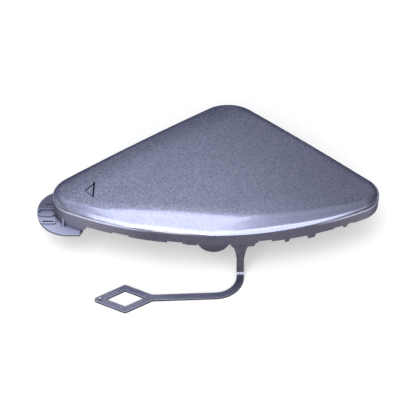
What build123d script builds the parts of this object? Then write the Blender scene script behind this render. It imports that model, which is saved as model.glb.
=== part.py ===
from build123d import *
from math import asin, atan2, cos, degrees, radians, sin, tan
import os

# Bumper tow hook cover: one injection moulding with a crowned, three-cornered cap,
# a stepped skirt, a locating tab, snap legs and a tether strap with a diamond eye.
# X runs along the front edge, Y from the front edge to the back corner, Z up.
# The strap, its eye and the feet of the legs lie on the plane Z = 0.

# Cap outline, drawn to the sharp corners that the rounding then takes off
left_reach = 69.8
right_reach = 74.3
back_corner_x = 9.6
back_reach = 59.6
front_bow = 22.5
left_round = 10.1
right_round = 9.5
back_round = 14.5

# Crown of the painted face and its rolled-down front
rim_height = 20.0
crown_height = 6.6
side_fall = 5.88
back_fall = 5.58
crest_shift = 0.25
crest_setback = 6.6
roll_radius = 9.5
roll_angle = 55.0
roll_foot_past = 0.25
yaw_angle = 6.6
wall_lean_angle = 30.0
edge_round = 3.0
cap_wall = 2.4

# Groove, ledge and skirt under the painted face
groove_height = 0.5
groove_depth = 1.2
ledge_proud = 1.1
ledge_bevel = 0.3
front_setback = 0.5
skirt_wall = 1.6
skirt_depth = 5.6
back_skirt_depth = 4.6
shelf_height = 1.6

# Lower edge of the front skirt: start, end and drop of each land or relief
strap_land_drop = 1.7
front_lands = [
    (-37.6, -31.6, -0.8),
    (-15.8, -10.4, -0.8),
    (-9.6, -3.4, 0.4),
    (8.4, 19.4, strap_land_drop),
    (20.0, 24.8, -0.9),
    (38.6, 43.4, 1.8),
    (50.4, 57.5, -0.5),
]
land_lead = 1.2
relief_lead = 0.5
lug_x = 2.2
lug_radius = 6.4
lug_drop = 4.1

# Round nubs at the lower edge: place along X and depth under the rim
nub_places = [(31.2, 6.2), (54.6, 5.4)]
nub_radius = 1.0

# Tab at the left end
tab_height = 11.2
tab_thickness = 1.0
tab_inset = 0.5
tab_length = 18.0
tab_front_y = -13.4
tab_back_y = 11.9
tab_front_round = 13.5
tab_back_round = 11.0
tab_slant = 3.2
tab_overlap = 1.2

# Marks on the tab, each set in from its outer end
slot_inset = 5.0
slot_y = -6.4
slot_length = 4.6
slot_width = 0.9
lip_width = 0.7
lip_height = 0.6
pocket_inset = 3.9
pocket_y = -1.0
pocket_radius = 1.5
pocket_length = 3.4
tab_rib_inset = 4.9
tab_rib_y = 4.3
tab_rib_length = 3.6
gusset_inset = 11.3
gusset_reach = 1.4
gusset_height = 5.4

# Sunk arrow mark on the painted face
arrow_inset = 20.6
arrow_y = -0.6
arrow_length = 3.9
arrow_width = 8.8
arrow_depth = 0.25
arrow_line = 0.35
arrow_back_line = 0.6
arrow_line_depth = 0.6

# Tether strap
strap_x = 12.8
strap_width = 2.9
strap_thickness = 0.8
strap_lean = 4.0
strap_setback = 1.0
strap_root_lap = 3.0
strap_root_round = 1.0
strap_bend_round = 1.8
strap_flat_lead = 1.5
strap_turn_radius = 10.2
strap_angle = 87.4
strap_flare = 1.6
strap_flare_length = 6.6
strap_run = 35.5

# Diamond eye at the end of the strap, and the peg at its tip
eye_length = 26.6
eye_width = 14.4
eye_border = 2.75
eye_round = 1.2
eye_neck_round = 3.0
eye_peg_inset = 3.6
eye_peg_radius = 0.45
eye_peg_height = 0.7

# Snap legs: place of each on the plan, and the way it faces in degrees from +X
leg_places = [(-27.0, 24.6), (37.0, 26.1), (46.0, 5.1), (-43.0, 5.1)]
leg_angles = [126.6, 47.3, -12.0, 192.0]
leg_width = 9.0
leg_thickness = 1.8
barb_reach = 1.5
barb_top = 12.6
barb_land = 1.0
barb_bottom = 8.4
toe_taper = 0.7
brace_thickness = 1.4
brace_reach = 4.0
brace_foot = 1.2
brace_drop = 10.0

# Stiffening ribs inside the cap
rib_thickness = 1.2
rib_height = 3.0
cross_rib_places = [-32.0, -12.0, 8.0, 28.0, 46.0]
long_rib_places = [-8.4, 11.6]

# Working sizes: longer than the part, past a cut, into a joint, and a hair's breadth
far = 200.0
past = 1.0
joint_lap = 0.2
crown_spare = 20.0
hair = 0.01

mid_x = (right_reach - left_reach) / 2
half_chord = (left_reach + right_reach) / 2
back_run = back_reach + crest_setback
crown_across = (half_chord ** 2 + side_fall ** 2) / (2 * side_fall)
crown_along = (back_run ** 2 + back_fall ** 2) / (2 * back_fall)
roll_depth = roll_radius * (1 - cos(radians(roll_angle)))
roll_run = roll_radius * sin(radians(roll_angle))
foot_run = (crown_height - roll_depth) / tan(radians(roll_angle))
roll_start = front_bow + roll_foot_past - crest_setback - roll_run - foot_run
skirt_foot = rim_height - skirt_depth
ledge_top = rim_height - groove_height
tab_left_x = tab_inset - left_reach
tab_right_x = tab_left_x + tab_length

# The skirt's front edge is flatter than the cap's, so it stands back at the middle
# and proud at the ends
skirt_bow = front_bow - front_setback - ledge_proud

front_view = Plane(origin=(0, 0, 0), x_dir=(1, 0, 0), z_dir=(0, -1, 0))


def side_view(x):
    """A plane across the part at a place along X, with Y to its right and Z up."""
    return Plane(origin=(x, 0, 0), x_dir=(0, 1, 0), z_dir=(1, 0, 0))


def rounded_outline(bow):
    """The cap's plan outline with a front edge that bows out by the given amount."""
    left = Vector(-left_reach, 0)
    right = Vector(right_reach, 0)
    back = Vector(back_corner_x, back_reach)
    front = ThreePointArc(left, (mid_x, -bow), right)
    outline = make_face([front, Line(right, back), Line(back, left)])
    for corner, radius in ((left, left_round), (right, right_round), (back, back_round)):
        nearest = outline.vertices().sort_by_distance(corner)[0]
        outline = fillet(nearest, radius)
    return outline


def prism(outline, low, high):
    """A plan outline drawn up from one height to another."""
    return extrude(Pos(0, 0, low) * outline, high - low)


def crown_body(inset):
    """All that lies under the crown and its rolled front, lowered by an inset."""
    back_angle = degrees(asin((back_run + crown_spare) / crown_along))
    front_angle = degrees(asin(roll_start / crown_along))
    crown = CenterArc(
        (0, crown_height - crown_along),
        crown_along - inset,
        90 - back_angle,
        back_angle + front_angle,
    )
    roll = JernArc(crown @ 1, crown % 1, roll_radius - inset, roll_angle)
    fall = Line(roll @ 1, (roll @ 1) + (roll % 1) * rim_height)
    back_foot = Vector((crown @ 0).X, (fall @ 1).Y)
    side = make_face([crown, roll, fall, Line(fall @ 1, back_foot), Line(back_foot, crown @ 0)])
    yaw = radians(yaw_angle)
    view = Plane(
        origin=(mid_x + crest_shift, -crest_setback, rim_height),
        x_dir=(sin(yaw), cos(yaw), 0),
        z_dir=(cos(yaw), -sin(yaw), 0),
    )
    axis = Axis(view.from_local_coords((0, crown_height - crown_across, 0)), view.x_dir)
    half_turn = degrees(asin((half_chord + crown_spare) / crown_across))
    return revolve((view * side).rotate(axis, -half_turn), axis, 2 * half_turn)


def is_top_rim(edge, outline):
    """True for an edge where the leaning wall meets the crown or the roll."""
    middle = edge @ 0.5
    rise = middle.Z - rim_height
    steep = abs((edge % 0.5).Z) > 0.6
    set_in = outline.outer_wire().distance_to(Vector(middle.X, middle.Y, 0))
    on_wall = abs(set_in - rise * tan(radians(wall_lean_angle))) < 2 * hair
    return on_wall and rise > hair and not steep


def leaning_block(outline):
    """A block on the rim plane whose wall leans in as it rises."""
    flat = Pos(0, 0, rim_height) * outline.faces()[0]
    return extrude(flat, crown_height + past, taper=wall_lean_angle)


def painted_cap(outline):
    """The crowned block with its upper edge rounded over."""
    block = leaning_block(outline) & crown_body(0)
    flat = outline.faces()[0]
    edges = [edge for edge in block.edges() if is_top_rim(edge, flat)]
    return fillet(edges, edge_round)


def inside_of_cap(inset):
    """The room inside the cap's wall, set in by an amount."""
    outline = offset(cap_outline, -inset)
    return prism(outline, 0, rim_height) + leaning_block(outline)


def front_edge_profile():
    """Front view of the skirt, with its lands, reliefs, lug and nubs."""
    band = Pos(0, skirt_foot + far / 2) * Rectangle(2 * far, far)
    for start, end, drop in front_lands:
        slope = land_lead if drop > 0 else -relief_lead
        base = skirt_foot + slope if drop > 0 else skirt_foot - past
        foot = skirt_foot - drop
        land = make_face(Polyline(
            (start, base), (end, base), (end - slope, foot), (start + slope, foot), close=True
        ))
        band = band + land if drop > 0 else band - land
    band += Pos(lug_x, skirt_foot - lug_drop + lug_radius) * Circle(lug_radius)
    for place, depth in nub_places:
        band += Pos(place, rim_height - depth) * Circle(nub_radius)
    return band & Pos(0, ledge_top - far / 2) * Rectangle(2 * far, far)


def skirt_front_y(x):
    """Where the outer face of the skirt's front lies at a place along X."""
    radius = (half_chord ** 2 + skirt_bow ** 2) / (2 * skirt_bow)
    return radius - skirt_bow - (radius ** 2 - (x - mid_x) ** 2) ** 0.5 - ledge_proud


def tab_wall_profile():
    """Front view of the deeper skirt wall over the tab."""
    foot = tab_height - tab_thickness
    return make_face(Polyline(
        (-far, ledge_top),
        (tab_right_x + tab_slant, ledge_top),
        (tab_right_x + tab_slant, skirt_foot),
        (tab_right_x + tab_overlap / 2, foot),
        (-far, foot),
        close=True,
    ))


def skirt_ring():
    """The ledge and the skirt wall, with the stepped lower edge at the front."""
    outer = offset(rounded_outline(skirt_bow), ledge_proud)
    inner = offset(rounded_outline(skirt_bow), ledge_proud - skirt_wall)
    ring = prism(outer, 0, ledge_top)
    ring = chamfer(ring.edges().group_by(Axis.Z)[-1], ledge_bevel)
    ring -= prism(inner, -past, ledge_top - shelf_height)
    front_zone = extrude(front_view * front_edge_profile(), far)
    back_zone = Pos(0, far / 2, ledge_top - back_skirt_depth / 2) * Box(far, far, back_skirt_depth)
    tab_zone = extrude(front_view * tab_wall_profile(), far, both=True)
    return ring & (front_zone + back_zone + tab_zone)


def locating_tab():
    """The half-round tab at the left end, with its slot, lips, pocket, rib and gusset."""
    inner_x = tab_right_x + tab_overlap
    outline = make_face(Polyline(
        (tab_left_x, tab_front_y),
        (tab_right_x, tab_front_y),
        (inner_x, tab_front_y + 2 * tab_overlap),
        (inner_x, tab_back_y),
        (tab_left_x, tab_back_y),
        close=True,
    ))
    front_left = outline.vertices().sort_by_distance((tab_left_x, tab_front_y))[0]
    outline = fillet(front_left, tab_front_round)
    back_left = outline.vertices().sort_by_distance((tab_left_x, tab_back_y))[0]
    outline = fillet(back_left, tab_back_round)
    inside = offset(rounded_outline(skirt_bow), -skirt_wall)
    plate = prism(outline, tab_height - tab_thickness, tab_height) - prism(inside, 0, far)
    slot = Pos(tab_left_x + slot_inset, slot_y) * Rectangle(slot_length, slot_width)
    lip = offset(slot, lip_width)
    pocket = Pos(tab_left_x + pocket_inset, pocket_y) * SlotCenterToCenter(pocket_length, 2 * pocket_radius)
    pocket_rim = offset(pocket, lip_width) - pocket
    rib = Pos(tab_left_x + tab_rib_inset, tab_rib_y) * Rectangle(tab_rib_length, lip_width)
    marks = prism(lip + pocket_rim + rib, tab_height - tab_thickness / 2, tab_height + lip_height)
    plate += marks & prism(outline, 0, far)
    plate -= prism(slot, 0, far)
    gusset_x = tab_left_x + gusset_inset
    wall_y = skirt_front_y(gusset_x)
    gusset = make_face(Polyline(
        (wall_y + skirt_wall / 2, tab_height - tab_thickness / 2),
        (wall_y - gusset_reach, tab_height - tab_thickness / 2),
        (wall_y + skirt_wall / 2, tab_height + gusset_height),
        close=True,
    ))
    return plate + extrude(side_view(gusset_x) * gusset, lip_width / 2, both=True)


def arrow_cut():
    """The shallow arrow mark, with a deeper line round it."""
    arrow_x = arrow_inset - left_reach
    back_x = arrow_x + arrow_length
    arrow = make_face(Polyline(
        (arrow_x, arrow_y),
        (back_x, arrow_y - arrow_width / 2),
        (back_x, arrow_y + arrow_width / 2),
        close=True,
    ))
    floor = offset(arrow, -arrow_line, kind=Kind.INTERSECTION)
    floor -= Pos(back_x, arrow_y) * Rectangle(2 * arrow_back_line, arrow_width)
    top = rim_height + crown_height + past
    shallow = prism(floor, rim_height, top) - crown_body(arrow_depth)
    line = prism(arrow - floor, rim_height, top) - crown_body(arrow_line_depth)
    return shallow + line


def strap_drop(root_y, flat_y):
    """The upright length of the strap: flared at its root and bent flat at its foot."""
    half = strap_thickness / 2
    root_z = skirt_foot - strap_land_drop
    side_line = FilletPolyline(
        (root_y, root_z + strap_root_lap),
        (root_y, root_z),
        (root_y - strap_lean, half),
        (flat_y - past, half),
        radius=[strap_root_round, strap_bend_round],
    )
    bent = extrude(side_view(strap_x) * trace(side_line, strap_thickness), far, both=True)
    edge_x = strap_width / 2
    wide_x = edge_x + strap_flare
    flare_z = root_z - strap_flare_length
    left_flare = TangentArc((-edge_x, flare_z), (-wide_x, root_z), tangent=(0, 1))
    right_flare = TangentArc((edge_x, flare_z), (wide_x, root_z), tangent=(0, 1))
    head = Polyline((-wide_x, root_z), (-wide_x, rim_height), (wide_x, rim_height), (wide_x, root_z))
    foot = Polyline((edge_x, flare_z), (edge_x, -past), (-edge_x, -past), (-edge_x, flare_z))
    front = make_face([left_flare, head, right_flare, foot])
    return bent & extrude(Pos(strap_x, 0, 0) * front_view * front, far, both=True)


def tether():
    """The strap that drops from the skirt, bends flat and ends in the diamond eye."""
    root_y = skirt_front_y(strap_x) + strap_setback
    flat_y = root_y - strap_lean - strap_flat_lead
    lead = Line((strap_x, flat_y + past), (strap_x, flat_y))
    turn = JernArc(lead @ 1, lead % 1, strap_turn_radius, -strap_angle)
    run = Line(turn @ 1, (turn @ 1) + (turn % 1) * strap_run)
    heading = degrees(atan2((run % 1).Y, (run % 1).X)) - 180
    place = Pos((run @ 1).X, (run @ 1).Y) * Rot(0, 0, heading)
    diamond = make_face(Polyline(
        (-eye_length / 2, 0), (0, -eye_width / 2), (eye_length / 2, 0), (0, eye_width / 2), close=True
    ))
    hole = offset(diamond, -eye_border, kind=Kind.INTERSECTION)
    rounded = fillet(diamond.vertices().sort_by(Axis.X)[:3], eye_round)
    flat = trace(lead + turn + run, strap_width) + place * rounded - place * hole
    neck_x = eye_length / 2 * (1 - strap_width / eye_width)
    for side in (-1, 1):
        neck = place * Pos(neck_x, side * strap_width / 2)
        nearest = flat.vertices().sort_by_distance(neck.position)[0]
        flat = fillet(nearest, eye_neck_round)
    peg_place = place * Pos(-eye_length / 2 + eye_peg_inset, 0, strap_thickness)
    peg = peg_place * extrude(Circle(eye_peg_radius), eye_peg_height)
    return strap_drop(root_y, flat_y) + prism(flat, 0, strap_thickness) + peg


def snap_leg():
    """One leg, facing +X: a blade with an outward barb, a tapered toe and two braces."""
    top = rim_height + crown_height
    blade = make_face(Polyline(
        (-leg_thickness, top),
        (-leg_thickness, 2 * toe_taper),
        (-leg_thickness + toe_taper, 0),
        (-toe_taper / 2, 0),
        (0, 2 * toe_taper),
        (0, barb_bottom),
        (barb_reach, barb_top - barb_land),
        (barb_reach, barb_top),
        (0, barb_top + barb_reach / 3),
        (0, top),
        close=True,
    ))
    leg = extrude(front_view * blade, leg_width / 2, both=True)
    brace_z = rim_height - brace_drop
    brace = make_face(Polyline(
        (-leg_thickness + joint_lap, top),
        (-leg_thickness + joint_lap, brace_z),
        (-leg_thickness - brace_foot, brace_z),
        (-leg_thickness - brace_reach, rim_height),
        (-leg_thickness - brace_reach, top),
        close=True,
    ))
    for side in (-1, 1):
        brace_y = side * (leg_width - brace_thickness) / 2
        leg += Pos(0, brace_y, 0) * extrude(front_view * brace, brace_thickness / 2, both=True)
    return leg


def inner_structure():
    """Snap legs and stiffening ribs, grown from the underside of the crown."""
    under_skin = crown_body(cap_wall / 2)
    ribs = Part()
    for x in cross_rib_places:
        ribs += Pos(x, 0, rim_height) * Box(rib_thickness, far, far)
    for y in long_rib_places:
        ribs += Pos(0, y, rim_height) * Box(far, rib_thickness, far)
    ribs &= under_skin - crown_body(cap_wall + rib_height)
    ribs &= Pos(0, 0, ledge_top - shelf_height + far / 2) * Box(far, far, far)
    legs = Part()
    for place, facing in zip(leg_places, leg_angles):
        legs += Pos(*place) * Rot(0, 0, facing) * snap_leg()
    legs &= under_skin + Pos(0, 0, rim_height - far / 2) * Box(far, far, far)
    return (ribs + legs) & inside_of_cap(cap_wall - joint_lap)


cap_outline = rounded_outline(front_bow)
neck = prism(offset(cap_outline, -groove_depth), ledge_top - joint_lap, rim_height + joint_lap)
hollow = inside_of_cap(cap_wall) & crown_body(cap_wall)

cover = painted_cap(cap_outline) - arrow_cut()
cover += neck + skirt_ring() + locating_tab()
cover -= hollow
cover += inner_structure() + tether()

# The row frame stands at the middle of the bounding box, on the rest plane
extent = cover.bounding_box()
cover = Pos(-extent.center().X, -extent.center().Y, -extent.min.Z) * cover

os.makedirs("parts", exist_ok=True)
export_step(cover, "parts/tow_hook_cover.step")
print("solids", len(cover.solids()), "volume", round(cover.volume, 1), "valid", cover.is_valid)
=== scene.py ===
import math
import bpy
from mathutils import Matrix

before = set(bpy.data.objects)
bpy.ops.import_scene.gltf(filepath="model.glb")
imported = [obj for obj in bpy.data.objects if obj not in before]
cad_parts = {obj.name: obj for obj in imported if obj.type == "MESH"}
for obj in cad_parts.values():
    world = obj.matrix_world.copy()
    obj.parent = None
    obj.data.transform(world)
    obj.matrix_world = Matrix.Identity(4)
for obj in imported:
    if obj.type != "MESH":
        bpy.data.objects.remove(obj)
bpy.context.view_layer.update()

from types import SimpleNamespace

import bpy
from mathutils import Quaternion, Vector
from mathutils.bvhtree import BVHTree

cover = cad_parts["tow_hook_cover"]

# Sizes and places are in millimetres in the row frame: X to the right, Y to the back, Z up
MM = 0.001

# Heights: the painted cap's lower edge, the ledge under its groove, the tab's top and the eye's peg
RIM_HEIGHT = 20.0
LEDGE_TOP = 19.5
TAB_FACE = 11.2
PEG_TOP = 1.5

# The strap's flat part and the eye lie under this height
STRAP_UNDER = 1.2

# The tab lies to the left of the first place, the eye to the left of the second
TAB_END = -51.0
EYE_END = -35.0

# The front edge is an arc round this point
FRONT_HUB = (2.46, 98.39, 0)
FRONT_RADIUS = 126.6

# The cap's back corner, drawn sharp, and the outward way of each back edge
BACK_CORNER = (9.81, 53.88)
LEFT_BACK = (-0.600, 0.800, 0)
RIGHT_BACK = (0.678, 0.735, 0)

# The middle of the arrow mark's upright line, and how far the line reaches from there
ARROW_LINE = (-45.39, -6.32)
ARROW_LINE_REACH = (0.35, 4.3)

# The spray gun's heights over the table and the turn between its places, in degrees,
# and how many free ways give a full coat
SPRAY_HEIGHTS = (12, 35, 60)
SPRAY_TURN = 30
FULL_COAT = 5

# Each way is tried from this far off the facet, and one that only grazes it, under this cosine, is left out
CLEARANCE = 0.02
GRAZING = 0.05

# The share of the skirt's darker coat in the paint of the flat strap
STRAP_DARKENING = 0.28


def to_linear(hex_code):
    """A colour given as an sRGB hex, in the linear values that shaders take."""
    parts = [int(hex_code[i:i + 2], 16) / 255 for i in (1, 3, 5)]
    return [p / 12.92 if p <= 0.04045 else ((p + 0.055) / 1.055) ** 2.4 for p in parts] + [1.0]


def add(tree, kind, inputs=None, **settings):
    """Adds a node, sets its options, and fills or links its inputs; returns its outputs."""
    made = tree.nodes.new(kind)
    for name, value in settings.items():
        setattr(made, name, value)
    for socket, value in (inputs or {}).items():
        if isinstance(value, bpy.types.NodeSocket):
            tree.links.new(value, made.inputs[socket])
        else:
            made.inputs[socket].default_value = value
    return made.outputs


# Where the spray gun could reach

def mark_spray(body):
    """Stores on each facet how much of the paint, sprayed from above and from the sides, reaches it."""
    mesh = body.data
    corners = [vertex.co.copy() for vertex in mesh.vertices]
    shell = BVHTree.FromPolygons(corners, [tuple(facet.vertices) for facet in mesh.polygons])
    ways = []
    for height in SPRAY_HEIGHTS:
        for turn in range(0, 360, SPRAY_TURN):
            level = math.cos(math.radians(height))
            ways.append(Vector((level * math.cos(math.radians(turn)), level * math.sin(math.radians(turn)),
                                math.sin(math.radians(height)))))
    reach = mesh.attributes.new("spray", "FLOAT", "FACE")
    for facet in mesh.polygons:
        start = facet.center + facet.normal * CLEARANCE * MM
        free = 0
        for way in ways:
            if facet.normal.dot(way) > GRAZING and shell.ray_cast(start, way)[0] is None:
                free += 1
        reach.data[facet.index].value = min(1.0, free / FULL_COAT)


# The shape that the light sees: every point stays, only the way it faces is rounded

def surface(tree):
    """What the finish asks of each point of the cover: where it is and which way it faces."""
    place = add(tree, "ShaderNodeTexCoord")["Object"]
    x, y, z = add(tree, "ShaderNodeSeparateXYZ", {0: place})
    normal = add(tree, "ShaderNodeNewGeometry")["Normal"]
    facing = add(tree, "ShaderNodeSeparateXYZ", {0: normal})
    upright = add(tree, "ShaderNodeMath", {0: facing["Z"]}, operation="ABSOLUTE")["Value"]
    steep = add(tree, "ShaderNodeMapRange", {"Value": upright, "From Min": 0.75, "From Max": 0.3},
                interpolation_type="SMOOTHSTEP")["Result"]
    flat = add(tree, "ShaderNodeMath", {0: 1.0, 1: steep}, operation="SUBTRACT")["Value"]
    over_rim = add(tree, "ShaderNodeMath", {0: z, 1: RIM_HEIGHT * MM}, operation="GREATER_THAN")["Value"]
    by_tab = add(tree, "ShaderNodeMath", {0: x, 1: TAB_END * MM}, operation="LESS_THAN")["Value"]
    return SimpleNamespace(place=place, x=x, y=y, z=z, normal=normal, facing=facing, steep=steep, flat=flat,
                           over_rim=over_rim, by_tab=by_tab)


def full_wall(tree, at, rightness):
    """The leaning wall over the rim is a little full, so its light fades toward its top."""
    wall = add(tree, "ShaderNodeMapRange", {"Value": at.facing["Z"], "From Min": 0.75, "From Max": 0.55},
               interpolation_type="SMOOTHSTEP")["Result"]
    # The wall gets lower toward the right tip
    height = add(tree, "ShaderNodeMapRange", {
        "Value": at.x, "From Min": 30 * MM, "From Max": 68 * MM,
        "To Min": 3.8 * MM, "To Max": 0.9 * MM})["Result"]
    fullness = add(tree, "ShaderNodeMapRange", {
        "Value": rightness, "To Min": 0.55, "To Max": 1.3})["Result"]
    foot_share = add(tree, "ShaderNodeMapRange", {
        "Value": rightness, "To Min": 0.13, "To Max": 0.32})["Result"]
    foot = add(tree, "ShaderNodeMath", {0: height, 1: foot_share}, operation="MULTIPLY")["Value"]
    above_rim = add(tree, "ShaderNodeMath", {0: at.z, 1: RIM_HEIGHT * MM}, operation="SUBTRACT")["Value"]
    climb = add(tree, "ShaderNodeMapRange", {
        "Value": above_rim, "From Min": foot, "From Max": height, "To Max": fullness})["Result"]
    lift = add(tree, "ShaderNodeMath", {0: wall, 1: climb}, operation="MULTIPLY")["Value"]
    return add(tree, "ShaderNodeCombineXYZ", {"Z": lift})["Vector"]


def drooping_shoulder(tree, at, outward, width, slope):
    """The crown droops a little along a back edge: wide and gently, then quickly at the rim."""
    edge = (outward[0] * BACK_CORNER[0] + outward[1] * BACK_CORNER[1]) * MM
    along = add(tree, "ShaderNodeVectorMath", {0: at.place, 1: outward}, operation="DOT_PRODUCT")["Value"]
    inset = add(tree, "ShaderNodeMath", {0: edge, 1: along}, operation="SUBTRACT")["Value"]
    gentle = add(tree, "ShaderNodeMapRange", {
        "Value": inset, "From Min": width * MM, "From Max": 3 * MM, "To Max": slope},
        interpolation_type="SMOOTHSTEP")["Result"]
    quick = add(tree, "ShaderNodeMapRange", {
        "Value": inset, "From Min": 5 * MM, "From Max": 1 * MM, "To Max": 0.5},
        interpolation_type="SMOOTHSTEP")["Result"]
    droop = add(tree, "ShaderNodeMath", {0: gentle, 1: quick}, operation="ADD")["Value"]
    on_cap = add(tree, "ShaderNodeMath", {0: droop, 1: at.over_rim}, operation="MULTIPLY")["Value"]
    return add(tree, "ShaderNodeVectorMath", {0: outward, "Scale": on_cap}, operation="SCALE")["Vector"]


def forward_bend(tree, at, rightness):
    """Toward its right end the crown bends down to the front sooner, and less again at the tip."""
    hub = [part * MM for part in FRONT_HUB]
    level = add(tree, "ShaderNodeCombineXYZ", {"X": at.x, "Y": at.y})["Vector"]
    from_hub = add(tree, "ShaderNodeVectorMath", {0: level, 1: hub}, operation="DISTANCE")["Value"]
    inset = add(tree, "ShaderNodeMath", {0: FRONT_RADIUS * MM, 1: from_hub}, operation="SUBTRACT")["Value"]
    bend = add(tree, "ShaderNodeMapRange", {
        "Value": inset, "From Min": 15 * MM, "From Max": 4 * MM, "To Max": 0.17},
        interpolation_type="SMOOTHSTEP")["Result"]
    before_tip = add(tree, "ShaderNodeMapRange", {
        "Value": at.x, "From Min": 32 * MM, "From Max": 60 * MM, "To Min": 1.0, "To Max": 0.25})["Result"]
    right_part = add(tree, "ShaderNodeMath", {0: rightness, 1: before_tip}, operation="MULTIPLY")["Value"]
    bending = add(tree, "ShaderNodeMath", {0: bend, 1: right_part}, operation="MULTIPLY")["Value"]
    on_cap = add(tree, "ShaderNodeMath", {0: bending, 1: at.over_rim}, operation="MULTIPLY")["Value"]
    return add(tree, "ShaderNodeVectorMath", {0: (0, -1, 0), "Scale": on_cap}, operation="SCALE")["Vector"]


def rounded_normal(tree, at):
    """The way each point faces on the real, slightly fuller moulding."""
    # The least rounding that a mould leaves: every edge catches a hair of light
    shaped = add(tree, "ShaderNodeBevel", {"Radius": 0.22 * MM}, samples=6)["Normal"]
    rightness = add(tree, "ShaderNodeMapRange", {"Value": at.x, "From Min": 0.0, "From Max": 28 * MM},
                    interpolation_type="SMOOTHSTEP")["Result"]
    pushes = (
        full_wall(tree, at, rightness),
        drooping_shoulder(tree, at, LEFT_BACK, width=17, slope=0.13),
        drooping_shoulder(tree, at, RIGHT_BACK, width=7, slope=0.02),
        forward_bend(tree, at, rightness),
    )
    for push in pushes:
        shaped = add(tree, "ShaderNodeVectorMath", {0: shaped, 1: push}, operation="ADD")["Vector"]
    return add(tree, "ShaderNodeVectorMath", {0: shaped}, operation="NORMALIZE")["Vector"]


# Where the paint is thinly sprayed, and where light and shade are painted on it

def crevice_shade(tree, at):
    """How closed in a corner is, and how much painted shade it gets: sharp inner corners are painted dark."""
    open_sky = add(tree, "ShaderNodeAmbientOcclusion", {"Distance": 1.1 * MM}, samples=6)["AO"]
    closed = add(tree, "ShaderNodeMapRange", {
        "Value": open_sky, "From Min": 0.92, "From Max": 0.5})["Result"]
    # The groove under the rim is open along its whole length and gets none of this painted shade
    in_groove = add(tree, "ShaderNodeMath", {0: at.z, 1: (LEDGE_TOP + RIM_HEIGHT) / 2 * MM, 2: 0.9 * MM},
                    operation="COMPARE")["Value"]
    shaded_corners = add(tree, "ShaderNodeMath", {0: closed, 1: in_groove}, operation="SUBTRACT",
                use_clamp=True)["Value"]

    # The arrow's two slanting lines get only a little of the painted shade, so they stay pale
    line_x, line_y = ARROW_LINE
    half_width, half_length = ARROW_LINE_REACH
    on_face = add(tree, "ShaderNodeMath", {0: at.z, 1: (RIM_HEIGHT + 0.3) * MM},
                  operation="GREATER_THAN")["Value"]
    left_of_line = add(tree, "ShaderNodeMath", {0: at.x, 1: (line_x - half_width) * MM},
                       operation="LESS_THAN")["Value"]
    slanting = add(tree, "ShaderNodeMath", {0: on_face, 1: left_of_line}, operation="MULTIPLY")["Value"]
    kept = add(tree, "ShaderNodeMapRange", {"Value": slanting, "To Min": 1.0, "To Max": 0.12})["Result"]
    kept_corner_shade = add(tree, "ShaderNodeMath", {0: shaded_corners, 1: kept}, operation="MULTIPLY")["Value"]

    # Its upright line is the deep one and is painted fully in shade
    across = add(tree, "ShaderNodeMath", {0: at.x, 1: line_x * MM, 2: half_width * MM},
                 operation="COMPARE")["Value"]
    along = add(tree, "ShaderNodeMath", {0: at.y, 1: line_y * MM, 2: half_length * MM},
                operation="COMPARE")["Value"]
    in_line = add(tree, "ShaderNodeMath", {0: across, 1: along}, operation="MULTIPLY")["Value"]
    deep_line = add(tree, "ShaderNodeMath", {0: in_line, 1: on_face}, operation="MULTIPLY")["Value"]
    corner_and_line_shade = add(tree, "ShaderNodeMath", {0: kept_corner_shade, 1: deep_line}, operation="MAXIMUM")["Value"]

    # The corners round the tab's loops and ribs are shallower and get less painted shade
    tab_kept = add(tree, "ShaderNodeMapRange", {"Value": at.by_tab, "To Min": 1.0, "To Max": 0.55})["Result"]
    dark = add(tree, "ShaderNodeMath", {0: corner_and_line_shade, 1: tab_kept}, operation="MULTIPLY")["Value"]
    return closed, dark


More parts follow.
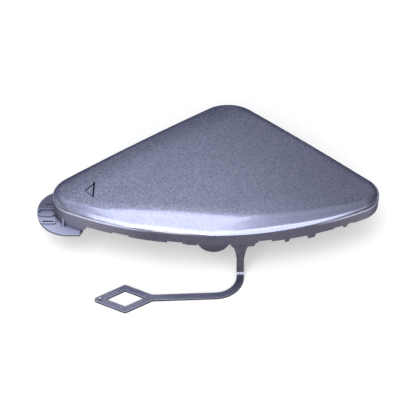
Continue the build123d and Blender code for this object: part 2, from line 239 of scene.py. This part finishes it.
def dust_and_painted_shade(tree, at):
    """The gun points down, so walls under the rim get only a brownish overspray; they are also painted in
    shade.
    """
    below = add(tree, "ShaderNodeMapRange", {
        "Value": at.z, "From Min": (LEDGE_TOP + 0.2) * MM, "From Max": (LEDGE_TOP - 0.4) * MM})["Result"]

    # The skirt's overspray and painted shade are densest a little right of the middle and lighter toward both
    # ends
    off_middle = add(tree, "ShaderNodeMath", {0: at.x, 1: 12 * MM}, operation="SUBTRACT")["Value"]
    from_middle = add(tree, "ShaderNodeMath", {0: off_middle}, operation="ABSOLUTE")["Value"]
    outer = add(tree, "ShaderNodeMapRange", {
        "Value": from_middle, "From Min": 30 * MM, "From Max": 64 * MM},
        interpolation_type="SMOOTHSTEP")["Result"]
    density = add(tree, "ShaderNodeMapRange", {"Value": outer, "To Min": 1.0, "To Max": 0.85})["Result"]
    on_wall = add(tree, "ShaderNodeMath", {0: at.steep, 1: density}, operation="MULTIPLY")["Value"]

    # What lies low, above all the strap, is darkened all round, and the tab is painted in shade on its sides
    # only
    strap = add(tree, "ShaderNodeMapRange", {
        "Value": at.z, "From Min": (STRAP_UNDER + 0.8) * MM, "From Max": STRAP_UNDER * MM})["Result"]
    on_strap = add(tree, "ShaderNodeMath", {0: strap, 1: STRAP_DARKENING}, operation="MULTIPLY")["Value"]
    under_tab = add(tree, "ShaderNodeMath", {0: at.z, 1: (TAB_FACE - 0.15) * MM},
                    operation="LESS_THAN")["Value"]
    tab_low = add(tree, "ShaderNodeMath", {0: at.by_tab, 1: under_tab}, operation="MULTIPLY")["Value"]
    tab_side = add(tree, "ShaderNodeMath", {0: tab_low, 1: at.steep}, operation="MULTIPLY")["Value"]
    densest = on_wall
    for other in (on_strap, tab_side):
        densest = add(tree, "ShaderNodeMath", {0: densest, 1: other}, operation="MAXIMUM")["Value"]
    dusted_and_shaded = add(tree, "ShaderNodeMath", {0: below, 1: densest}, operation="MULTIPLY")["Value"]

    # In the middle the ledge's lip is painted in shade, and at both ends it gets a painted highlight
    left_end = add(tree, "ShaderNodeMapRange", {
        "Value": at.x, "From Min": -22 * MM, "From Max": -42 * MM})["Result"]
    right_end = add(tree, "ShaderNodeMapRange", {
        "Value": at.x, "From Min": 42 * MM, "From Max": 56 * MM})["Result"]
    ends = add(tree, "ShaderNodeMath", {0: left_end, 1: right_end}, operation="MAXIMUM")["Value"]
    between = add(tree, "ShaderNodeMath", {0: 1.0, 1: ends}, operation="SUBTRACT")["Value"]
    lip_top = add(tree, "ShaderNodeMath", {0: at.z, 1: (LEDGE_TOP - 0.4) * MM, 2: 0.42 * MM},
                  operation="COMPARE")["Value"]
    shaded_lip = add(tree, "ShaderNodeMath", {0: lip_top, 1: between}, operation="MULTIPLY")["Value"]
    dust_and_shade = add(tree, "ShaderNodeMath", {0: dusted_and_shaded, 1: shaded_lip}, operation="MAXIMUM")["Value"]
    return SimpleNamespace(dust_and_shade=dust_and_shade, outer=outer, strap=strap, lip_ends=ends)


def dry_and_lit_tab(tree, at):
    """The tab's top face is out of sight in use, so nobody polished it: it is matt and dull, and its colour
    carries painted light and shade.
    """
    low = add(tree, "ShaderNodeMapRange", {
        "Value": at.z, "From Min": (TAB_FACE + 1.5) * MM, "From Max": (TAB_FACE + 0.8) * MM})["Result"]
    on_tab = add(tree, "ShaderNodeMath", {0: low, 1: at.by_tab}, operation="MULTIPLY")["Value"]
    return add(tree, "ShaderNodeMath", {0: on_tab, 1: at.flat}, operation="MULTIPLY")["Value"]


def shaded_end_walls(tree, at):
    """The walls at the cap's two ends, turned away from the light, are painted in shade, more of them at the
    right end.
    """
    left = add(tree, "ShaderNodeMapRange", {
        "Value": at.facing["X"], "From Min": -0.6, "From Max": -0.95, "To Max": 0.55})["Result"]
    right = add(tree, "ShaderNodeMapRange", {
        "Value": at.facing["X"], "From Min": 0.28, "From Max": 0.65, "To Max": 0.55})["Result"]
    both = add(tree, "ShaderNodeMath", {0: left, 1: right}, operation="MAXIMUM")["Value"]
    return add(tree, "ShaderNodeMath", {0: both, 1: at.over_rim}, operation="MULTIPLY")["Value"]


def strap_light_and_shade(tree, at, strap):
    """How much painted highlight the strap's proud upper edges get here, and how much painted shade its sides
    get.
    """
    wide_edges = add(tree, "ShaderNodeBevel", {"Radius": 0.8 * MM}, samples=8)["Normal"]
    same = add(tree, "ShaderNodeVectorMath", {0: wide_edges, 1: at.normal}, operation="DOT_PRODUCT")["Value"]
    edge = add(tree, "ShaderNodeMapRange", {
        "Value": same, "From Min": 0.99, "From Max": 0.9, "To Max": 0.8})["Result"]
    strap_edge_highlight = add(tree, "ShaderNodeMath", {0: edge, 1: strap}, operation="MULTIPLY")["Value"]
    upper = add(tree, "ShaderNodeMath", {0: strap_edge_highlight, 1: at.flat}, operation="MULTIPLY")["Value"]
    strap_side_shade = add(tree, "ShaderNodeMath", {0: strap, 1: at.steep}, operation="MULTIPLY")["Value"]
    side = add(tree, "ShaderNodeMath", {0: strap_side_shade, 1: 0.8}, operation="MULTIPLY")["Value"]
    return upper, side


def peg_top_highlight(tree, at):
    """A painted highlight on the top of the small peg on the eye."""
    level = add(tree, "ShaderNodeMath", {0: at.z, 1: PEG_TOP * MM, 2: 0.15 * MM},
                operation="COMPARE")["Value"]
    at_eye = add(tree, "ShaderNodeMath", {0: at.x, 1: EYE_END * MM}, operation="LESS_THAN")["Value"]
    return add(tree, "ShaderNodeMath", {0: level, 1: at_eye}, operation="MULTIPLY")["Value"]


def lip_end_highlight(tree, at, lip_ends):
    """A painted highlight on the front of the ledge's lip at both of its ends."""
    on_lip = add(tree, "ShaderNodeMath", {0: at.z, 1: (LEDGE_TOP - 0.15) * MM, 2: 0.65 * MM},
                 operation="COMPARE")["Value"]
    front = add(tree, "ShaderNodeMapRange", {
        "Value": at.facing["Y"], "From Min": -0.25, "From Max": -0.6})["Result"]
    end_lip = add(tree, "ShaderNodeMath", {0: on_lip, 1: lip_ends}, operation="MULTIPLY")["Value"]
    return add(tree, "ShaderNodeMath", {0: end_lip, 1: front}, operation="MULTIPLY")["Value"]


def groove_painted_light(tree, at, closed):
    """The groove under the rim is painted near white inside, as painted light that takes away its shade."""
    groove_wall = add(tree, "ShaderNodeMath", {0: at.z, 1: (LEDGE_TOP + 0.26) * MM, 2: 0.26 * MM},
                      operation="COMPARE")["Value"]
    return add(tree, "ShaderNodeMath", {0: groove_wall, 1: closed}, operation="MULTIPLY")["Value"]


def wear_and_painted_light(tree, at):
    """All that spraying and use left on the paint, and the light and shade painted on it, for its colour, its
    roughness and its clear coat.
    """
    closed, dark = crevice_shade(tree, at)
    dust_shade = dust_and_painted_shade(tree, at)
    strap_edge_highlight, strap_side_shade = strap_light_and_shade(tree, at, dust_shade.strap)
    return SimpleNamespace(
        dust_and_shade=dust_shade.dust_and_shade, outer=dust_shade.outer, unpolished_lit_tab=dry_and_lit_tab(tree, at), end_wall_shade=shaded_end_walls(tree, at), dark=dark,
        strap_edge_highlight=strap_edge_highlight, strap_side_shade=strap_side_shade, peg=peg_top_highlight(tree, at),
        lip=lip_end_highlight(tree, at, dust_shade.lip_ends), groove=groove_painted_light(tree, at, closed))


# Colours of the paint

def base_coat(tree, at, glint, cloud):
    """Blue-grey base coat, with metal flakes that glint and lie a little unevenly."""
    # On the steep front roll the flakes lie flatter and glint less
    calm = add(tree, "ShaderNodeMapRange", {
        "Value": at.facing["Y"], "From Min": -0.2, "From Max": -0.45, "To Min": 1.0, "To Max": 0.4},
        interpolation_type="SMOOTHSTEP")["Result"]
    off_mean = add(tree, "ShaderNodeMath", {0: glint, 1: 0.5}, operation="SUBTRACT")["Value"]
    calmer = add(tree, "ShaderNodeMath", {0: off_mean, 1: calm}, operation="MULTIPLY")["Value"]
    spark = add(tree, "ShaderNodeMix", {0: at.over_rim, 2: off_mean, 3: calmer}, data_type="FLOAT")[0]
    clouded = add(tree, "ShaderNodeMath", {0: cloud, 1: 0.2, 2: 0.4}, operation="MULTIPLY_ADD")["Value"]
    bright = add(tree, "ShaderNodeMath", {0: spark, 1: clouded}, operation="ADD")["Value"]
    return add(tree, "ShaderNodeMix", {0: bright, 6: to_linear("#757b9b"), 7: to_linear("#abafd0")},
               data_type="RGBA")[2]


def overspray_and_shade(tree, at, glint, outer):
    """Brownish grey overspray with painted shade: darker down the skirt, and paler toward its ends."""
    low = add(tree, "ShaderNodeMapRange", {"Value": at.z, "From Min": 15 * MM, "From Max": 10 * MM})["Result"]
    dusk = add(tree, "ShaderNodeMath", {0: low, 1: 0.6, 2: -0.1}, operation="MULTIPLY_ADD")["Value"]
    grainy = add(tree, "ShaderNodeMath", {0: glint, 1: 0.6, 2: dusk}, operation="MULTIPLY_ADD")["Value"]
    middle = add(tree, "ShaderNodeMix", {0: grainy, 6: to_linear("#626070"), 7: to_linear("#42404a")},
                 data_type="RGBA")[2]
    return add(tree, "ShaderNodeMix", {0: outer, 6: middle, 7: to_linear("#75727d")}, data_type="RGBA")[2]


def tab_painted_light(tree, at):
    """The tab's colour as painted light and shade: pale where the light falls at the front, and darker toward
    the back, in the cap's painted shadow.
    """
    toward_back = add(tree, "ShaderNodeMapRange", {"Value": at.y, "From Min": -13 * MM, "From Max": -2 * MM},
                      interpolation_type="SMOOTHSTEP")["Result"]
    return add(tree, "ShaderNodeMix", {0: toward_back, 6: to_linear("#d4d9f8"), 7: to_linear("#747893")},
               data_type="RGBA")[2]


def paint_colour(tree, at, glint, cloud, marks):
    """The base coat, with the overspray and painted shade and the tab's painted light over it, and each
    painted highlight and painted shade over those.
    """
    colour = base_coat(tree, at, glint, cloud)
    # Over the base coat go the overspray with painted shade, the tab's painted light and shade, the strap's
    # painted edge highlights and side shade, the peg's painted highlight, painted shade on the end walls and
    # in corners, and painted highlights on the lip's ends and in the groove
    for share, covering in (
            (marks.dust_and_shade, overspray_and_shade(tree, at, glint, marks.outer)),
            (marks.unpolished_lit_tab, tab_painted_light(tree, at)),
            (marks.strap_edge_highlight, to_linear("#c4c6dc")),
            (marks.strap_side_shade, to_linear("#26262d")),
            (marks.peg, to_linear("#f4f5ff")),
            (marks.end_wall_shade, to_linear("#3f4154")),
            (marks.dark, to_linear("#2f3145")),
            (marks.lip, to_linear("#b4b4cc")),
            (marks.groove, to_linear("#fafaff"))):
        colour = add(tree, "ShaderNodeMix", {0: share, 6: colour, 7: covering}, data_type="RGBA")[2]
    return colour


# Paint and plastic

def metal_flakes(tree, at, wavy):
    """Metal flakes: real ones are 0.02 mm wide, drawn at 0.4 mm so that they show; each leans its own way."""
    flake = add(tree, "ShaderNodeTexVoronoi", {"Vector": at.place, "Scale": 1 / (0.4 * MM)})["Color"]
    glint = add(tree, "ShaderNodeSeparateXYZ", {0: flake})["X"]
    lean = add(tree, "ShaderNodeVectorMath", {0: flake, 1: (0.5, 0.5, 0.5)}, operation="SUBTRACT")["Vector"]
    small_lean = add(tree, "ShaderNodeVectorMath", {0: lean, "Scale": 0.06}, operation="SCALE")["Vector"]
    leaning = add(tree, "ShaderNodeVectorMath", {0: wavy, 1: small_lean}, operation="ADD")["Vector"]
    flaky = add(tree, "ShaderNodeVectorMath", {0: leaning}, operation="NORMALIZE")["Vector"]
    return glint, flaky


def clear_coat(tree, rounded, worn_and_shaded):
    """How thick the clear coat is: hardly there under overspray, on the unpolished tab and where shade is
    painted, and fading toward the outline.
    """
    gloss = add(tree, "ShaderNodeMapRange", {"Value": worn_and_shaded, "To Min": 1.0, "To Max": 0.1})["Result"]
    # Where the surface turns away its gloss fades, which draws the dark outline of deep paint
    away = add(tree, "ShaderNodeLayerWeight", {"Blend": 0.5, "Normal": rounded})["Facing"]
    fading = add(tree, "ShaderNodeMapRange", {
        "Value": away, "From Min": 0.34, "From Max": 0.58, "To Min": 1.0, "To Max": 0.06})["Result"]
    return add(tree, "ShaderNodeMath", {0: gloss, 1: fading}, operation="MULTIPLY")["Value"]


def metallic_paint(tree, at, rounded, cloud):
    """Car paint: a satin metallic base coat that goes from light to dark with the light on it,
    under a clear coat that mirrors the lamps sharply."""
    marks = wear_and_painted_light(tree, at)

    # Orange peel, the slow waviness of sprayed clear coat, about 2.5 mm from crest to crest
    peel = add(tree, "ShaderNodeTexNoise", {
        "Vector": at.place, "Scale": 1 / (2.5 * MM), "Detail": 1.5})["Fac"]
    wavy = add(tree, "ShaderNodeBump", {
        "Strength": 0.06, "Distance": 0.25 * MM, "Height": peel, "Normal": rounded})["Normal"]
    glint, flaky = metal_flakes(tree, at, wavy)

    # Thinly sprayed and shaded places are rough, and so is the unpolished tab
    dull = add(tree, "ShaderNodeMapRange", {"Value": marks.dust_and_shade, "To Min": 0.3, "To Max": 0.55})["Result"]
    roughness = add(tree, "ShaderNodeMix", {0: marks.unpolished_lit_tab, 2: dull, 3: 0.55}, data_type="FLOAT")[0]

    # Under the overspray and painted shade, on the unpolished tab, on the shaded end walls and in the painted
    # corner shade it has no clear coat either
    worn_and_shaded = marks.dust_and_shade
    for other in (marks.unpolished_lit_tab, marks.end_wall_shade, marks.dark):
        worn_and_shaded = add(tree, "ShaderNodeMath", {0: worn_and_shaded, 1: other}, operation="MAXIMUM")["Value"]
    return add(tree, "ShaderNodeBsdfPrincipled", {
        "Base Color": paint_colour(tree, at, glint, cloud, marks),
        "Metallic": 0.9, "Roughness": roughness, "Normal": flaky, "Specular Tint": to_linear("#1a1b22"),
        "Coat Weight": clear_coat(tree, rounded, worn_and_shaded), "Coat Roughness": 0.1, "Coat IOR": 1.7,
        "Coat Normal": wavy})["BSDF"]


def bare_plastic(tree, at, rounded, cloud):
    """Moulded plastic without paint: dark grey and matt, with a moulded grain 0.35 mm wide."""
    grain = add(tree, "ShaderNodeTexNoise", {
        "Vector": at.place, "Scale": 1 / (0.35 * MM), "Detail": 2.0})["Fac"]
    grained = add(tree, "ShaderNodeBump", {
        "Strength": 0.25, "Distance": 0.05 * MM, "Height": grain, "Normal": rounded})["Normal"]
    colour = add(tree, "ShaderNodeMix", {0: cloud, 6: to_linear("#37383c"), 7: to_linear("#414247")},
                 data_type="RGBA")[2]
    return add(tree, "ShaderNodeBsdfPrincipled", {
        "Base Color": colour, "Roughness": 0.55, "Normal": grained})["BSDF"]


def painted_plastic():
    """The moulding's one finish: metallic paint where the spray reached, bare plastic elsewhere."""
    made = bpy.data.materials.new("metallic_paint_on_moulded_plastic")
    made.use_nodes = True
    tree = made.node_tree
    tree.nodes.clear()
    at = surface(tree)
    rounded = rounded_normal(tree, at)
    # Clouds 5 mm wide where the flakes lie unevenly and the plastic's grey varies
    cloud = add(tree, "ShaderNodeTexNoise", {"Vector": at.place, "Scale": 1 / (5 * MM), "Detail": 3.0})["Fac"]
    paint = metallic_paint(tree, at, rounded, cloud)
    bare = bare_plastic(tree, at, rounded, cloud)
    spray = add(tree, "ShaderNodeAttribute", attribute_name="spray")["Fac"]
    skin = add(tree, "ShaderNodeMixShader", {0: spray, 1: bare, 2: paint})["Shader"]
    add(tree, "ShaderNodeOutputMaterial", {"Surface": skin})
    return made


mark_spray(cover)
cover.data.materials.clear()
cover.data.materials.append(painted_plastic())


# Studio

def white_table():
    """A wide matt table top in plain white."""
    bpy.ops.mesh.primitive_plane_add(size=6)
    plane = bpy.context.object
    plane.name = "white_table"
    made = bpy.data.materials.new("matt_white_laminate")
    made.use_nodes = True
    tree = made.node_tree
    tree.nodes.clear()
    matt = add(tree, "ShaderNodeBsdfDiffuse", {"Color": (0.9, 0.9, 0.9, 1)})["BSDF"]
    # The table glows a little where it is seen, straight or mirrored, so that it shows as plain white
    ray = add(tree, "ShaderNodeLightPath")
    mirrored = add(tree, "ShaderNodeMath", {0: ray["Is Glossy Ray"], 1: ray["Is Transmission Ray"]},
                   operation="ADD")["Value"]
    seen = add(tree, "ShaderNodeMath", {0: ray["Is Camera Ray"], 1: mirrored}, operation="ADD")["Value"]
    glow = add(tree, "ShaderNodeMath", {0: seen, 1: 0.25}, operation="MULTIPLY")["Value"]
    white = add(tree, "ShaderNodeEmission", {"Strength": glow})["Emission"]
    both = add(tree, "ShaderNodeAddShader", {0: matt, 1: white})["Shader"]
    add(tree, "ShaderNodeOutputMaterial", {"Surface": both})
    plane.data.materials.append(made)
    return plane


def softbox(name, shape, over, side, roll, width, height, radiance):
    """A soft lamp a metre away: over is its angle over the top from the back, side its angle to the
    right and roll its turn on its own axis, in degrees; width and height are in metres."""
    over, side = math.radians(over), math.radians(side)
    way = Vector((math.sin(side), math.cos(side) * math.cos(over), math.cos(side) * math.sin(over)))
    lamp = bpy.data.lights.new(name, "AREA")
    lamp.shape = shape
    lamp.size = width
    lamp.size_y = height
    area = width * height * (math.pi / 4 if shape == "ELLIPSE" else 1)
    lamp.energy = radiance * math.pi * area
    holder = bpy.data.objects.new(name, lamp)
    bpy.context.scene.collection.objects.link(holder)
    holder.location = way
    turned = way.to_track_quat("Z", "Y") @ Quaternion((0, 0, 1), math.radians(roll))
    holder.rotation_euler = turned.to_euler()
    holder.visible_camera = False
    return holder


def pale_room():
    """A pale room, dimmest low behind the table and brightest under its ceiling, a little to the left."""
    world = bpy.data.worlds.new("studio")
    world.use_nodes = True
    tree = world.node_tree
    tree.nodes.clear()
    way = add(tree, "ShaderNodeTexCoord")["Generated"]
    toward = add(tree, "ShaderNodeVectorMath", {0: way, 1: (-0.14, 0.08, 0.98)},
                 operation="DOT_PRODUCT")["Value"]
    above = add(tree, "ShaderNodeMapRange", {"Value": toward, "From Min": 0.3, "From Max": 1.0},
                interpolation_type="SMOOTHSTEP")["Result"]
    across = add(tree, "ShaderNodeSeparateXYZ", {0: way})["X"]
    leftward = add(tree, "ShaderNodeMapRange", {"Value": across, "From Min": 0.3, "From Max": -0.03},
                   interpolation_type="SMOOTHSTEP")["Result"]
    lit = add(tree, "ShaderNodeMath", {0: above, 1: leftward}, operation="MULTIPLY")["Value"]
    plain = add(tree, "ShaderNodeMath", {0: lit, 1: 0.7, 2: 0.27}, operation="MULTIPLY_ADD")["Value"]
    # A faint glow beside the front softbox, on its right
    beside = add(tree, "ShaderNodeVectorMath", {0: way, 1: (0.31, -0.36, 0.88)},
                 operation="DOT_PRODUCT")["Value"]
    halo = add(tree, "ShaderNodeMapRange", {
        "Value": beside, "From Min": 0.8, "From Max": 1.0, "To Max": 0.3},
        interpolation_type="SMOOTHSTEP")["Result"]
    glow = add(tree, "ShaderNodeMath", {0: plain, 1: halo}, operation="ADD")["Value"]
    walls = add(tree, "ShaderNodeBackground", {
        "Color": (0.97, 0.98, 1.0, 1), "Strength": glow})["Background"]
    add(tree, "ShaderNodeOutputWorld", {"Surface": walls})
    return world


lamps = [
    softbox("front_softbox", "ELLIPSE", 124, -13, 23, 0.8, 1.5, 1.5),
    softbox("left_softbox", "ELLIPSE", 150, -31, 0, 0.5, 0.38, 0.7),
    softbox("low_front_strip", "RECTANGLE", 161, 2, 0, 2.0, 0.54, 2.7),
]
white_table()
bpy.context.scene.world = pale_room()
bpy.context.scene.view_settings.view_transform = "Standard"


# Camera: a long lens half a metre away, 45 degrees above the front

aim = Vector((0.211, -10.34, 17.5)) * MM
distance = 520 * MM
tilt = math.radians(45)
lens = bpy.data.cameras.new("camera")
lens.lens = 112.5
lens.sensor_width = 36
lens.clip_start = 0.01
lens.clip_end = 20
camera = bpy.data.objects.new("camera", lens)
bpy.context.scene.collection.objects.link(camera)
camera.location = aim + distance * Vector((0, -math.cos(tilt), math.sin(tilt)))
camera.rotation_euler = (math.pi / 2 - tilt, 0, 0)
bpy.context.scene.camera = camera
